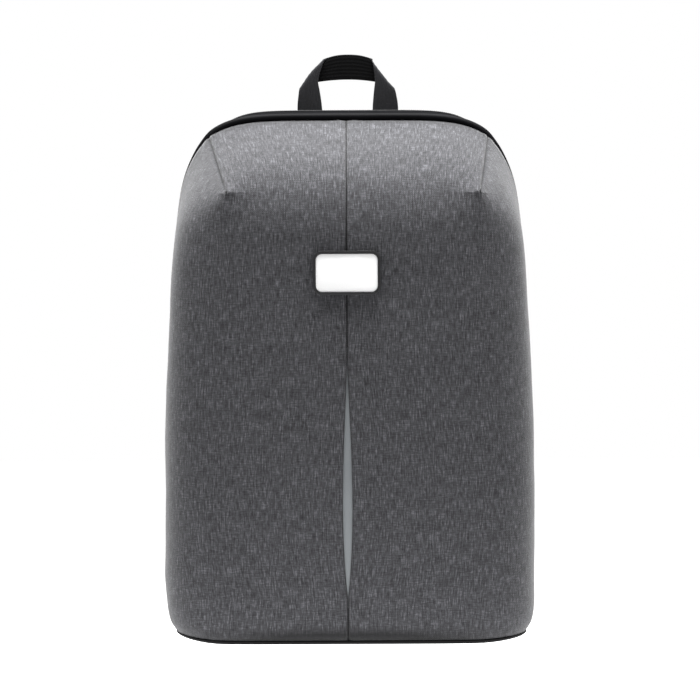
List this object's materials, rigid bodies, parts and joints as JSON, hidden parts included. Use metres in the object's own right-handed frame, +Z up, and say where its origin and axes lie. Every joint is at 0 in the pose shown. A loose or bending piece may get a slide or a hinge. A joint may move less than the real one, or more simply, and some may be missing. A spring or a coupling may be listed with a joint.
{
  "type": "anti theft backpack",
  "caption": "Standing backpack with a grey melange shell, darted brow, opened pleat with a reflective insert, blank badge, black zip band, folded webbing handle, padded back and shoulder straps",
  "frame": {"origin": "centre of the flat underside of the base, where the bag stands", "axes": "+X to the right as seen from the front, -Y out of the front towards the viewer, +Z up"},
  "size_m": [0.304, 0.1853, 0.4827],
  "materials": {
    "shell_melange": "woven grey melange polyester with a matt face",
    "reflective_tape": "grey retroreflective coated tape",
    "badge_black": "moulded black, satin",
    "badge_white": "plain white, satin",
    "piping_black": "black coated welt with a soft sheen",
    "band_fabric": "black woven polyester",
    "zip_nylon": "black nylon coil",
    "slider_metal": "black painted zinc",
    "base_fabric": "black coated heavy polyester",
    "air_mesh": "black spacer mesh over foam",
    "webbing_black": "ribbed polypropylene webbing",
    "adjuster_plastic": "moulded acetal, satin"
  },
  "bodies": {
    "root": {"shell_left": "shell_melange", "shell_right": "shell_melange", "reflective_strip": "reflective_tape", "badge_frame": "badge_black", "badge_plate": "badge_white", "edge_piping": "piping_black", "zip_gusset": "band_fabric", "zip_coil": "zip_nylon", "zip_slider_upper": "slider_metal", "zip_slider_lower": "slider_metal", "base_panel": "base_fabric", "back_panel": "air_mesh", "top_handle": "webbing_black", "strap_yoke": "band_fabric", "shoulder_strap_left": "air_mesh", "strap_tab_left": "webbing_black", "strap_adjuster_left": "adjuster_plastic", "strap_webbing_left": "webbing_black", "strap_anchor_left": "band_fabric", "shoulder_strap_right": "air_mesh", "strap_tab_right": "webbing_black", "strap_adjuster_right": "adjuster_plastic", "strap_webbing_right": "webbing_black", "strap_anchor_right": "band_fabric"}
  },
  "joints": []
}
